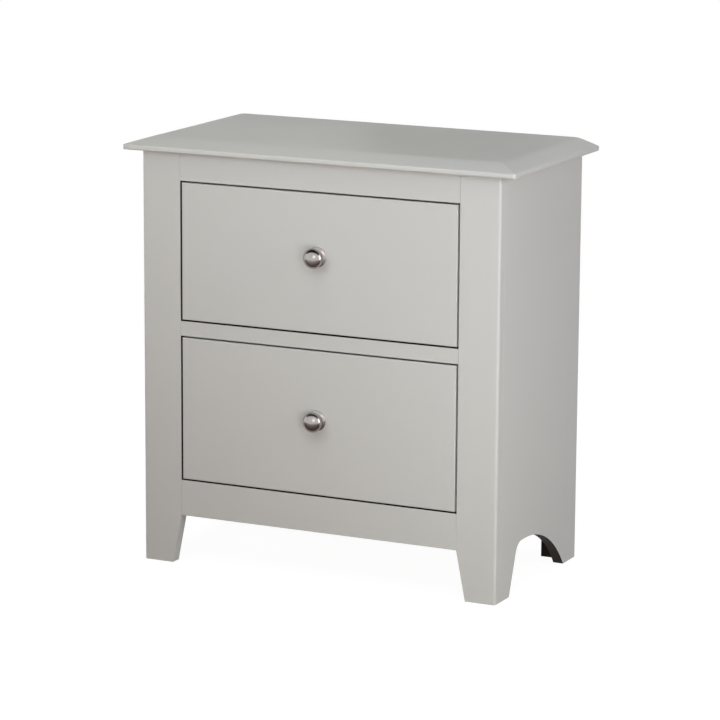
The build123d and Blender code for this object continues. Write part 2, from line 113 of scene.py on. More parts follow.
class ShaderGraph:
    """Builds the node tree of one material, or of the world."""

    # The Mix node keeps one pair of inputs and one output for each kind of value.
    number_pair = slice(2, 4)
    colour_pair = slice(6, 8)
    number_result = 0
    colour_result = 2

    def __init__(self, tree: bpy.types.NodeTree) -> None:
        """Start with an empty tree."""
        self.tree = tree
        self.tree.nodes.clear()

    def add(self, kind: str, options: dict[str, object] | None = None, **inputs: object) -> Node:
        """Add a node, set its options and fill its inputs.

        Args:
            kind: Node type without its prefix.
            options: Properties of the node, such as its operation.
            inputs: Values or sockets by input name, with underscores for spaces.

        Returns:
            The new node.
        """
        node = self.tree.nodes.new(f"ShaderNode{kind}")
        for option, value in (options or {}).items():
            setattr(node, option, value)
        for name, value in inputs.items():
            self.fill(node.inputs[name.replace("_", " ")], value)
        return node

    def fill(self, socket: Socket, value: object) -> None:
        """Link a socket to another one, or set its plain value.

        Args:
            socket: Input of a node.
            value: Output of another node, or a number, colour or point.
        """
        if isinstance(value, Socket):
            self.tree.links.new(value, socket)
        else:
            socket.default_value = value

    def fill_in_order(self, node: Node, *values: object) -> Node:
        """Fill a node's first inputs.

        Args:
            node: Node whose inputs are filled.
            values: Values or sockets, in the order of the inputs.

        Returns:
            The same node.
        """
        for socket, value in zip(node.inputs, values):
            self.fill(socket, value)
        return node

    def place(self) -> Socket:
        """Return the point on the surface in the part's own frame."""
        return self.add("TexCoord").outputs["Object"]

    def noise(self, point: Socket, scale: float, detail: float, **inputs: object) -> Socket:
        """Return a noise value for a point."""
        return self.add("TexNoise", Vector=point, Scale=scale, Detail=detail, **inputs).outputs["Fac"]

    def drawn_noise(
        self, point: Socket, scales: Scales, detail: float, shift: Socket | Place = ORIGIN
    ) -> Socket:
        """Return a noise value that is drawn out by a scale on each axis."""
        return self.noise(self.mapped(point, scales, shift), 1.0, detail)

    def vector(self, operation: str, *values: Socket | Place) -> Node:
        """Add a sum on points and return its node."""
        return self.fill_in_order(self.add("VectorMath", {"operation": operation}), *values)

    def mapped(self, point: Socket, scales: Scales, shift: Socket | Place = ORIGIN) -> Socket:
        """Return a point moved and then scaled on each axis."""
        moved = self.vector("ADD", point, shift).outputs["Vector"]
        return self.vector("MULTIPLY", moved, scales).outputs["Vector"]

    def own_shift(self, spread: Place, start: Place) -> Socket:
        """Return a shift that differs from object to object."""
        chance = self.add("ObjectInfo").outputs["Random"]
        return self.vector("MULTIPLY_ADD", chance, spread, start).outputs["Vector"]

    def length(self, point: Socket) -> Socket:
        """Return how far a point lies from the middle of its space."""
        return self.vector("LENGTH", point).outputs["Value"]

    def facing(self, axis: str) -> Socket:
        """Return how far the surface faces along one axis, from -1 to 1."""
        normal = self.add("NewGeometry").outputs["True Normal"]
        return self.add("SeparateXYZ", Vector=normal).outputs[axis]

    def math(self, operation: str, *values: Socket | float) -> Socket:
        """Return the result of one sum on numbers."""
        return self.fill_in_order(self.add("Math", {"operation": operation}), *values).outputs["Value"]

    def total(self, *weighted: tuple[Socket, float]) -> Socket:
        """Add up several values.

        Args:
            weighted: Pairs of a value and its weight.

        Returns:
            The sum of the values, each times its weight.
        """
        result, *others = [self.math("MULTIPLY", value, weight) for value, weight in weighted]
        for other in others:
            result = self.math("ADD", result, other)
        return result

    def all_of(self, *tests: Socket) -> Socket:
        """Join several tests into one.

        Args:
            tests: Values that are 1 where a test holds and 0 elsewhere.

        Returns:
            1 where every test holds, and 0 elsewhere.
        """
        result, *others = tests
        for other in others:
            result = self.math("MULTIPLY", result, other)
        return result

    def span(self, value: Socket, target: Span, source: Span = WHOLE) -> Socket:
        """Carry a value from one range to another.

        Args:
            value: The value, which is held at the ends of its range.
            target: Range of the result.
            source: Range of the value.

        Returns:
            The value's place in the new range.
        """
        (low, high), (start, end) = target, source
        node = self.add("MapRange", Value=value, From_Min=start, From_Max=end, To_Min=low, To_Max=high)
        return node.outputs["Result"]

    def share(self, value: Socket, source: Span) -> Socket:
        """Return 0 at one end of a value's range and 1 at the other."""
        return self.span(value, WHOLE, source)

    def blend(self, factor: Socket, first: Socket | Colour, second: Socket | Colour) -> Socket:
        """Mix two colours.

        Args:
            factor: Socket that picks the colour.
            first: The colour at 0, or its socket.
            second: The colour at 1, or its socket.

        Returns:
            The mixed colour.
        """
        node = self.fill_in_order(self.add("Mix", {"data_type": "RGBA"}), factor)
        for socket, value in zip(node.inputs[self.colour_pair], (first, second)):
            self.fill(socket, value if isinstance(value, Socket) else (*value, 1.0))
        return node.outputs[self.colour_result]

    def weigh(self, factor: Socket, first: Socket | float, second: Socket | float) -> Socket:
        """Mix two numbers.

        Args:
            factor: Socket that picks the number.
            first: The number at 0, or its socket.
            second: The number at 1, or its socket.

        Returns:
            The mixed number.
        """
        node = self.fill_in_order(self.add("Mix", {"data_type": "FLOAT"}), factor)
        for socket, value in zip(node.inputs[self.number_pair], (first, second)):
            self.fill(socket, value)
        return node.outputs[self.number_result]

    def mix(self, factor: Socket, first: Socket, second: Socket) -> Socket:
        """Return a shader between two, by a factor from 0 to 1."""
        return self.fill_in_order(self.add("MixShader"), factor, first, second).outputs["Shader"]


def node_material(name: str) -> tuple[Material, ShaderGraph]:
    """Make a material without nodes.

    Args:
        name: Name of the material.

    Returns:
        The material, and the graph that its nodes go into.
    """
    material = bpy.data.materials.new(name)
    material.use_nodes = True
    return material, ShaderGraph(material.node_tree)


@dataclass(frozen=True)
class Surface:
    """The sockets of a finish that vary from place to place."""

    colour: Socket
    roughness: Socket
    height: Socket


@dataclass(frozen=True)
class Finish:
    """A material made from nodes, with the values that hold all over it.

    In the finishes of paint, wood and board, a pair of scales runs along the fibres and across them.
    """

    name: str
    metallic: float = 0.0
    specular: float = 0.5
    bump_strength: float = 0.2
    bump_depth: float = 0.0002

    def surface(self, graph: ShaderGraph, grain: Grain) -> Surface:
        """Lay down the finish's own nodes.

        Args:
            graph: Graph of the material.
            grain: Axis of the fibres under the finish.

        Returns:
            The varying colour, roughness and height.
        """
        raise NotImplementedError

    def material(self, grain: Grain = Grain.UPRIGHT) -> Material:
        """Make the material, or return it if it is already made.

        Args:
            grain: Axis of the fibres under the finish.

        Returns:
            A material with one shader and the finish's nodes.
        """
        label = f"{self.name}_{grain.name.lower()}"
        if label in bpy.data.materials:
            return bpy.data.materials[label]
        material, graph = node_material(label)
        surface = self.surface(graph, grain)
        bump = graph.add("Bump", Strength=self.bump_strength, Distance=self.bump_depth, Height=surface.height)
        shader = graph.add(
            "BsdfPrincipled",
            Base_Color=surface.colour,
            Roughness=surface.roughness,
            Metallic=self.metallic,
            Specular_IOR_Level=self.specular,
            Normal=bump.outputs["Normal"],
        )
        graph.add("OutputMaterial", Surface=shader.outputs["BSDF"])
        return material


@dataclass(frozen=True)
class SatinPaint(Finish):
    """Sprayed satin paint, with a little of the wood's grain showing through it."""

    name: str = "satin_paint"
    specular: float = 0.35
    bump_strength: float = 0.08
    bump_depth: float = 0.0001
    tone: Colour = (0.566, 0.565, 0.562)
    cool_tone: Colour = (0.552, 0.555, 0.554)
    cloud_scale: float = 5.0
    fibre_scales: Pair = (9.0, 420.0)
    spray_scale: float = 950.0
    fibre_tint: float = 0.1
    mottle_range: Span = (0.3, 0.8)
    sheen_range: Span = (0.1, 0.4)
    roughness_range: Span = (0.44, 0.54)
    fibre_relief: float = 0.4
    spray_relief: float = 0.6

    def surface(self, graph: ShaderGraph, grain: Grain) -> Surface:
        """Lay down faint clouds of tone, telegraphed grain and a fine spray texture.

        Args:
            graph: Graph of the material.
            grain: Axis of the fibres under the paint.

        Returns:
            The varying colour, roughness and height.
        """
        place = graph.place()
        clouds = graph.noise(place, self.cloud_scale, detail=3.0)
        fibres = graph.drawn_noise(place, grain.stretch(*self.fibre_scales), detail=3.0)
        spray = graph.noise(place, self.spray_scale, detail=1.0)
        mottle = graph.share(graph.total((clouds, 1.0), (fibres, self.fibre_tint)), self.mottle_range)
        sheen = graph.math("MULTIPLY", clouds, spray)
        return Surface(
            colour=graph.blend(mottle, self.tone, self.cool_tone),
            roughness=graph.span(sheen, self.roughness_range, self.sheen_range),
            height=graph.total((fibres, self.fibre_relief), (spray, self.spray_relief)),
        )


@dataclass(frozen=True)
class DarkStain(Finish):
    """Thin, dull dark staining on the hidden softwood, with colours set dark enough to be painted shade under
    the case, in the arch and in the drawer gaps.
    """

    name: str = "dark_stain"
    specular: float = 0.15
    bump_strength: float = 0.3
    # The heavy and thin colours are painted shade as well as staining: darker than the staining needs, so the
    # hidden parts look shadowed.
    heavy: Colour = (0.0125, 0.0095, 0.0088)
    thin: Colour = (0.040, 0.030, 0.026)
    fibre_scales: Pair = (9.0, 320.0)
    streak_range: Span = (0.3, 0.7)
    roughness_range: Span = (0.88, 0.98)

    def surface(self, graph: ShaderGraph, grain: Grain) -> Surface:
        """Lay down streaks where the dark staining has soaked in more or less.

        Args:
            graph: Graph of the material.
            grain: Axis of the fibres under the staining.

        Returns:
            The varying colour, roughness and height.
        """
        fibres = graph.drawn_noise(graph.place(), grain.stretch(*self.fibre_scales), detail=4.0)
        streaks = graph.share(fibres, self.streak_range)
        return Surface(
            colour=graph.blend(streaks, self.heavy, self.thin),
            roughness=graph.span(streaks, self.roughness_range),
            height=fibres,
        )


@dataclass(frozen=True)
class PartPainted(Finish):
    """Satin paint where the object shows, and the hidden wood's dark staining where it does not, which also
    serves as painted shade in the arch's reveal and the drawer gaps.
    """

    specular: float = 0.35
    bump_strength: float = 0.08
    bump_depth: float = 0.0001
    paint: SatinPaint = SatinPaint()
    # Its dark staining doubles as painted shade where this finish's mask picks it.
    stain: DarkStain = DarkStain()

    def unpainted(self, graph: ShaderGraph) -> Socket:
        """Tell the dark staining and painted shade from the paint.

        Args:
            graph: Graph of the material.

        Returns:
            1 where the dark staining and painted shade go, and 0 where it is painted.
        """
        raise NotImplementedError

    def surface(self, graph: ShaderGraph, grain: Grain) -> Surface:
        """Lay down both finishes and choose between them.

        Args:
            graph: Graph of the material.
            grain: Axis of the fibres under the finish.

        Returns:
            The varying colour, roughness and height.
        """
        outside = self.paint.surface(graph, grain)
        shade_and_stain_look = self.stain.surface(graph, grain)
        shade_and_stain = self.unpainted(graph)
        return Surface(
            colour=graph.blend(shade_and_stain, outside.colour, shade_and_stain_look.colour),
            roughness=graph.weigh(shade_and_stain, outside.roughness, shade_and_stain_look.roughness),
            height=graph.weigh(shade_and_stain, outside.height, shade_and_stain_look.height),
        )


@dataclass(frozen=True)
class PaintedSide(PartPainted):
    """A side panel, dark on its inner face with the staining of the hidden wood, and dark in the arch between
    its feet as painted shade.
    """

    side: Side = Side.RIGHT
    arch_top: float = 0.078
    arch_back: float = 0.125
    turn_limit: float = 0.35

    def unpainted(self, graph: ShaderGraph) -> Socket:
        """Pick out the inner face and the arch's reveal, where the dark is painted shade.

        Args:
            graph: Graph of the material.

        Returns:
            1 where the dark staining and painted shade go, and 0 where it is painted.
        """
        outward = graph.math("MULTIPLY", graph.facing("X"), self.side.value)
        where = graph.add("SeparateXYZ", Vector=graph.place())
        # The arch's reveal is made dark as painted shade.
        reveal = graph.all_of(
            graph.math("LESS_THAN", where.outputs["Z"], self.arch_top),
            graph.math("LESS_THAN", where.outputs["Y"], self.arch_back),
            graph.math("LESS_THAN", outward, self.turn_limit),
        )
        inside = graph.math("LESS_THAN", outward, -self.turn_limit)
        return graph.math("MAXIMUM", reveal, inside)


@dataclass(frozen=True)
class PaintedFrame(PartPainted):
    """A stile or rail, painted in front and a little way round its edges, and dark behind that, as painted
    shade in the drawer gaps.
    """

    name: str = "painted_frame"
    front: float = 0.0
    wrap: float = 0.0016
    foot_top: float = 0.0
    outer: float = 1.0

    def unpainted(self, graph: ShaderGraph) -> Socket:
        """Pick out what lies behind the front face, above the feet and away from the outer corner.

        Args:
            graph: Graph of the material.

        Returns:
            1 where the dark staining and painted shade go, and 0 where it is painted.
        """
        where = graph.add("SeparateXYZ", Vector=graph.place())
        # The faces behind the front, inside the drawer gaps, are made dark as painted shade.
        return graph.all_of(
            graph.math("GREATER_THAN", where.outputs["Y"], self.front + self.wrap),
            graph.math("GREATER_THAN", where.outputs["Z"], self.foot_top),
            graph.math("LESS_THAN", graph.math("ABSOLUTE", where.outputs["X"]), self.outer),
        )


@dataclass(frozen=True)
class BareWood(Finish):
    """Sealed wood without paint, with growth rings, fibres, pores and darker end grain."""

    name: str = "drawer_wood"
    specular: float = 0.35
    bump_strength: float = 0.25
    early: Colour = (0.66, 0.47, 0.27)
    late: Colour = (0.43, 0.265, 0.13)
    pore: Colour = (0.24, 0.14, 0.07)
    heart: Place = (0.21, 0.26, 0.12)
    cut_spread: Place = (0.35, 0.27, 0.31)
    ring_drift: float = 0.05
    ring_density: float = 130.0
    ring_range: Span = (0.25, 0.75)
    ring_share: float = 0.6
    bend_scales: Pair = (2.2, 7.0)
    wander: float = 0.045
    fibre_scales: Pair = (14.0, 850.0)
    fibre_share: float = 0.5
    pore_scales: Pair = (45.0, 1600.0)
    pore_range: Span = (0.62, 0.75)
    pore_share: float = 0.55
    tone_range: Span = (0.2, 0.9)
    roughness_range: Span = (0.42, 0.6)
    end_limit: float = 0.7
    end_soak: float = 0.45

    def surface(self, graph: ShaderGraph, grain: Grain) -> Surface:
        """Lay down rings of uneven width round a distant heart, fine fibres and pores.

        Args:
            graph: Graph of the material.
            grain: Axis of the wood's fibres.

        Returns:
            The varying colour, roughness and height.
        """
        place = graph.place()
        cut = graph.own_shift(self.cut_spread, self.heart)
        trunk = graph.mapped(place, grain.stretch(self.ring_drift, 1.0), cut)
        bend = graph.drawn_noise(place, grain.stretch(*self.bend_scales), detail=2.0, shift=cut)
        rings = graph.add(
            "TexNoise",
            {"noise_dimensions": "1D"},
            W=graph.total((graph.length(trunk), 1.0), (bend, self.wander)),
            Scale=self.ring_density,
            Detail=2.0,
        ).outputs["Fac"]
        fibres = graph.drawn_noise(place, grain.stretch(*self.fibre_scales), detail=4.0)
        pores = graph.drawn_noise(place, grain.stretch(*self.pore_scales), detail=2.0)
        lengthways = graph.math("ABSOLUTE", graph.facing(grain.value))
        tone = graph.total(
            (graph.share(rings, self.ring_range), self.ring_share),
            (fibres, self.fibre_share),
            (graph.math("GREATER_THAN", lengthways, self.end_limit), self.end_soak),
        )
        body = graph.blend(graph.share(tone, self.tone_range), self.early, self.late)
        dark = graph.span(pores, (0.0, self.pore_share), self.pore_range)
        return Surface(
            colour=graph.blend(dark, body, self.pore),
            roughness=graph.span(fibres, self.roughness_range),
            height=graph.math("SUBTRACT", fibres, dark),
        )


@dataclass(frozen=True)
class Hardboard(Finish):
    """Pressed brown fibreboard with a smooth face."""

    name: str = "hardboard"
    specular: float = 0.3
    light: Colour = (0.36, 0.23, 0.125)
    dark: Colour = (0.235, 0.140, 0.070)
    fleck: Colour = (0.12, 0.068, 0.034)
    pulp_scale: float = 70.0
    pulp_coarseness: float = 0.65
    pulp_range: Span = (0.3, 0.7)
    fleck_scales: Pair = (260.0, 700.0)
    fleck_range: Span = (0.64, 0.74)
    fleck_share: float = 0.6
    roughness_range: Span = (0.45, 0.62)

    def surface(self, graph: ShaderGraph, grain: Grain) -> Surface:
        """Lay down clouds of pulp and short dark flecks of bark.

        Args:
            graph: Graph of the material.
            grain: Axis that the flecks follow.

        Returns:
            The varying colour, roughness and height.
        """
        place = graph.place()
        pulp = graph.noise(place, self.pulp_scale, detail=6.0, Roughness=self.pulp_coarseness)
        specks = graph.drawn_noise(place, grain.stretch(*self.fleck_scales), detail=2.0)
        flecks = graph.span(specks, (0.0, self.fleck_share), self.fleck_range)
        body = graph.blend(graph.share(pulp, self.pulp_range), self.light, self.dark)
        return Surface(
            colour=graph.blend(flecks, body, self.fleck),
            roughness=graph.span(pulp, self.roughness_range),
            height=graph.math("SUBTRACT", pulp, flecks),
        )


@dataclass(frozen=True)
class MouldedNylon(Finish):
    """Natural nylon with a fine spark-eroded texture."""

    name: str = "moulded_nylon"
    bump_strength: float = 0.15
    bump_depth: float = 0.0001
    pale: Colour = (0.80, 0.79, 0.74)
    milky: Colour = (0.70, 0.69, 0.63)
    milk_scale: float = 90.0
    milk_range: Span = (0.3, 0.7)
    texture_scale: float = 1800.0
    roughness_range: Span = (0.38, 0.55)

    def surface(self, graph: ShaderGraph, grain: Grain) -> Surface:
        """Lay down a milky variation and a fine texture.

        Args:
            graph: Graph of the material.
            grain: Not used, because nylon has no fibres.

        Returns:
            The varying colour, roughness and height.
        """
        place = graph.place()
        milk = graph.noise(place, self.milk_scale, detail=3.0)
        texture = graph.noise(place, self.texture_scale, detail=1.0)
        return Surface(
            colour=graph.blend(graph.share(milk, self.milk_range), self.pale, self.milky),
            roughness=graph.span(texture, self.roughness_range),
            height=texture,
        )


@dataclass(frozen=True)
class ZincPlate(Finish):
    """Zinc-plated steel with a faint passivation tint."""

    name: str = "zinc_plate"
    metallic: float = 1.0
    bump_strength: float = 0.1
    bright: Colour = (0.66, 0.66, 0.64)
    tinted: Colour = (0.58, 0.56, 0.48)
    tint_scale: float = 240.0
    tint_range: Span = (0.35, 0.65)
    crystal_scale: float = 2400.0
    roughness_range: Span = (0.28, 0.46)

    def surface(self, graph: ShaderGraph, grain: Grain) -> Surface:
        """Lay down tinted clouds and crystalline specks.

        Args:
            graph: Graph of the material.
            grain: Not used, because plating has no fibres.

        Returns:
            The varying colour, roughness and height.
        """
        place = graph.place()
        tint = graph.noise(place, self.tint_scale, detail=3.0)
        crystals = graph.noise(place, self.crystal_scale, detail=1.0)
        return Surface(
            colour=graph.blend(graph.share(tint, self.tint_range), self.bright, self.tinted),
            roughness=graph.span(crystals, self.roughness_range),
            height=crystals,
        )


@dataclass(frozen=True)
class SatinNickel(Finish):
    """Turned and satin-polished nickel, with fine rings round the knob's axis."""

    metallic: float = 1.0
    bump_strength: float = 0.06
    bump_depth: float = 0.00005
    # Both the clean and the dulled colours are darker than nickel is: painted shade that dims what the knob
    # mirrors.
    clean: Colour = (0.47, 0.445, 0.43)
    dulled: Colour = (0.41, 0.385, 0.37)
    axis_height: float = 0.0
    ring_stretch: Scales = (1.0, 0.15, 1.0)
    ring_scale: float = 520.0
    ring_waver: float = 1.5
    handling_scale: float = 130.0
    tint_range: Span = (0.35, 0.75)
    dulling_range: Span = (0.3, 0.7)
    roughness_range: Span = (0.15, 0.23)

    def surface(self, graph: ShaderGraph, grain: Grain) -> Surface:
        """Lay down polishing rings and the faint dulling of handling.

        Args:
            graph: Graph of the material.
            grain: Axis that the knob was turned on.

        Returns:
            The varying colour, roughness and height.
        """
        place = graph.place()
        rings = graph.add(
            "TexWave",
            {"wave_type": "RINGS", "rings_direction": grain.value},
            Vector=graph.mapped(place, self.ring_stretch, (0.0, 0.0, -self.axis_height)),
            Scale=self.ring_scale,
            Distortion=self.ring_waver,
            Detail=1.0,
        ).outputs["Fac"]
        handled = graph.noise(place, self.handling_scale, detail=4.0)
        return Surface(
            colour=graph.blend(graph.share(handled, self.tint_range), self.clean, self.dulled),
            roughness=graph.span(handled, self.roughness_range, self.dulling_range),
            height=rings,
        )


@dataclass(frozen=True)
class EasedEdges:
    """Rounds the arrises of a node, by modifiers that leave its mesh as it is."""

    width: float
    segments: int = 2
    sharp_angle: float = 35.0
    weld_distance: float = 0.00001
    flat_angle: float = 0.4
    shading_weight: int = 80

    def apply(self, part: bpy.types.Object) -> None:
        """Join the facets of flat faces, round the sharp edges and even out the shading.

        Args:
            part: Object that gets the modifiers.
        """
        weld = part.modifiers.new("weld", "WELD")
        weld.merge_threshold = self.weld_distance
        flat = part.modifiers.new("flat_faces", "DECIMATE")
        flat.decimate_type = "DISSOLVE"
        flat.angle_limit = radians(self.flat_angle)
        ease = part.modifiers.new("eased_edges", "BEVEL")
        ease.width = self.width
        ease.segments = self.segments
        ease.limit_method = "ANGLE"
        ease.angle_limit = radians(self.sharp_angle)
        ease.use_clamp_overlap = False
        shading = part.modifiers.new("even_shading", "WEIGHTED_NORMAL")
        shading.weight = self.shading_weight


def dress(node: str, material: Material, edges: EasedEdges | None = None) -> None:
    """Give a CAD node its finish and, where asked, eased edges.

    Args:
        node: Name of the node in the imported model.
        material: Finish for the whole node.
        edges: How its edges are rounded, if at all.
    """
    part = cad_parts[node]
    if part.material_slots:
        part.material_slots[0].material = material
    else:
        part.data.materials.append(material)
    if edges:
        edges.apply(part)
    log.info("dressed %s with %s", node, material.name)


def add_object(mesh: bpy.types.Mesh, material: Material) -> bpy.types.Object:
    """Put a mesh into the scene.

    Args:
        mesh: Mesh that also gives the object its name.
        material: Finish for the whole mesh.

    Returns:
        The new object.
    """
    mesh.materials.append(material)
    thing = bpy.data.objects.new(mesh.name, mesh)
    bpy.context.collection.objects.link(thing)
    return thing


def add_built(name: str, shape: Shape, material: Material) -> bpy.types.Object:
    """Put a built shape into the scene, and free it.

    Args:
        name: Name of the object.
        shape: The shape, which can't be used after this.
        material: Finish for the whole shape.

    Returns:
        The new object.
    """
    mesh = bpy.data.meshes.new(name)
    shape.to_mesh(mesh)
    shape.free()
    return add_object(mesh, material)


def add_sheet(name: str, size: Pair, material: Material) -> bpy.types.Object:
    """Put a flat rectangle into the scene, with its middle on the origin.

    Args:
        name: Name of the object.
        size: Width along x and height along y.
        material: Finish of the sheet.

    Returns:
        The new object.
    """
    half_width, half_height = size[0] / 2, size[1] / 2
    corners = [(x * half_width, y * half_height, 0.0) for x, y in ((-1, -1), (1, -1), (1, 1), (-1, 1))]
    mesh = bpy.data.meshes.new(name)
    mesh.from_pydata(corners, [], [(0, 1, 2, 3)])
    return add_object(mesh, material)


def turn_on_axis(shape: Shape, seat: Vector, profile: list[Pair], sides: int) -> list[Ring]:
    """Add a surface turned round an axis that points backwards.

    Args:
        shape: Mesh that the surface is added to.
        seat: Point on the axis where the profile's reach is nought.
        profile: Pairs of radius and reach along the axis, from its front end to its back end.
        sides: Number of points round the axis.

    Returns:
        The rings of points, one for each pair of the profile.
    """
    turns = [2 * pi * step / sides for step in range(sides)]
    rings = [
        [shape.verts.new(seat + Vector((radius * cos(turn), reach, radius * sin(turn)))) for turn in turns]
        for radius, reach in profile
    ]
    for front, back in zip(rings, rings[1:]):
        for step in range(sides):
            after = (step + 1) % sides
            shape.faces.new((front[after], front[step], back[step], back[after])).smooth = True
    return rings


@dataclass(frozen=True)
class FlatNail:
    """A nail with a low-domed head that faces backwards."""

    radius: float = 0.0021
    height: float = 0.0007
    dome: tuple[Pair, ...] = ((1.0, 0.0), (1.0, 0.45), (0.82, 0.85), (0.4, 1.0))
    sides: int = 12

    def add(self, shape: Shape, seat: Vector) -> None:
        """Add one head.

        Args:
            shape: Mesh that the head is added to.
            seat: Middle of the head's underside, on the panel.
        """
        profile = [(self.radius * wide, self.height * tall) for wide, tall in self.dome]
        rings = turn_on_axis(shape, seat, profile, self.sides)
        shape.faces.new(reversed(rings[-1])).smooth = True
        shape.faces.new(rings[0])


@dataclass(frozen=True)
class PanScrew:
    """A pan-headed screw with a cross recess, which faces backwards."""

    head_radius: float = 0.004
    head_height: float = 0.0022
    dome: tuple[Pair, ...] = ((1.0, 0.0), (1.0, 0.4), (0.94, 0.72), (0.82, 0.92), (0.64, 1.0))
    shank_radius: float = 0.002
    tip_radius: float = 0.0004
    tip_length: float = 0.003
    arms: int = 4
    arm_length: float = 0.0019
    arm_half_width: float = 0.00045
    recess_depth: float = 0.0013
    recess_taper: float = 0.6
    sides: int = 24
    sharp_angle: float = 35.0
    place_digits: int = 5

    def stand_for(self, node: str, body: Body, finish: Finish) -> None:
        """Build screws in the place of a node's plain ones.

        Args:
            node: Node with one screw, or two side by side.
            body: Body that the screws ride on.
            finish: Finish of the metal.
        """
        low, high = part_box(node)
        ends = (low.x + self.head_radius, high.x - self.head_radius)
        shape = bmesh.new()
        # A node with one screw has both of its ends in the same place.
        for x in sorted({round(end, self.place_digits) for end in ends}):
            self.add(shape, Vector((x, high.y - self.head_height, (low.z + high.z) / 2)), low.y)
        bmesh.ops.recalc_face_normals(shape, faces=shape.faces[:])
        screws = add_built(f"{node}_cross_headed", shape, finish.material())
        screws.data.set_sharp_from_angle(angle=radians(self.sharp_angle))
        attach(screws, body.value)
        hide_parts(node)
        log.info("built %s", screws.name)

    def add(self, shape: Shape, seat: Vector, tip: float) -> None:
        """Add one screw.

        Args:
            shape: Mesh that the screw is added to.
            seat: Middle of the head's underside.
            tip: Place of the tip along the screw's axis.
        """
        reach = tip - seat.y
        shank = [(self.shank_radius, reach + self.tip_length), (self.shank_radius, 0.0)]
        head = [(self.head_radius * wide, self.head_height * tall) for wide, tall in self.dome]
        rings = turn_on_axis(shape, seat, [(self.tip_radius, reach), *shank, *head], self.sides)
        shape.faces.new(rings[0])
        self.cut_recess(shape, rings[-1], seat + Vector((0.0, self.head_height, 0.0)))

    def cut_recess(self, shape: Shape, edge: Ring, middle: Vector) -> None:
        """Close the head with a flat that has a cross sunk into it.

        Args:
            shape: Mesh that the flat is added to.
            edge: Ring of points round the flat.
            middle: Middle of the flat.
        """
        half = self.arm_half_width
        arm = ((self.arm_length, -half), (self.arm_length, half), (half, half))
        turns = [Matrix.Rotation(-2 * pi * step / self.arms, 3, "Y") for step in range(self.arms)]
        corners = [turn @ Vector((x, 0.0, z)) for turn in turns for x, z in arm]
        sink = Vector((0.0, self.recess_depth, 0.0))
        rim = [shape.verts.new(middle + corner) for corner in corners]
        floor = [shape.verts.new(middle + corner * self.recess_taper - sink) for corner in corners]
        for step, point in enumerate(rim):
            after = (step + 1) % len(rim)
            shape.faces.new((point, rim[after], floor[after], floor[step]))
        shape.faces.new(floor)
        span = self.sides // self.arms
        for step in range(self.arms):
            first, start = len(arm) * step, span * step
            left, right, notch = rim[first:first + len(arm)]
            next_left = rim[(first + len(arm)) % len(rim)]
            shape.faces.new([left, edge[start - 1], edge[start], edge[start + 1], right])
            shape.faces.new([right, *edge[start + 1:start + span], next_left, notch])


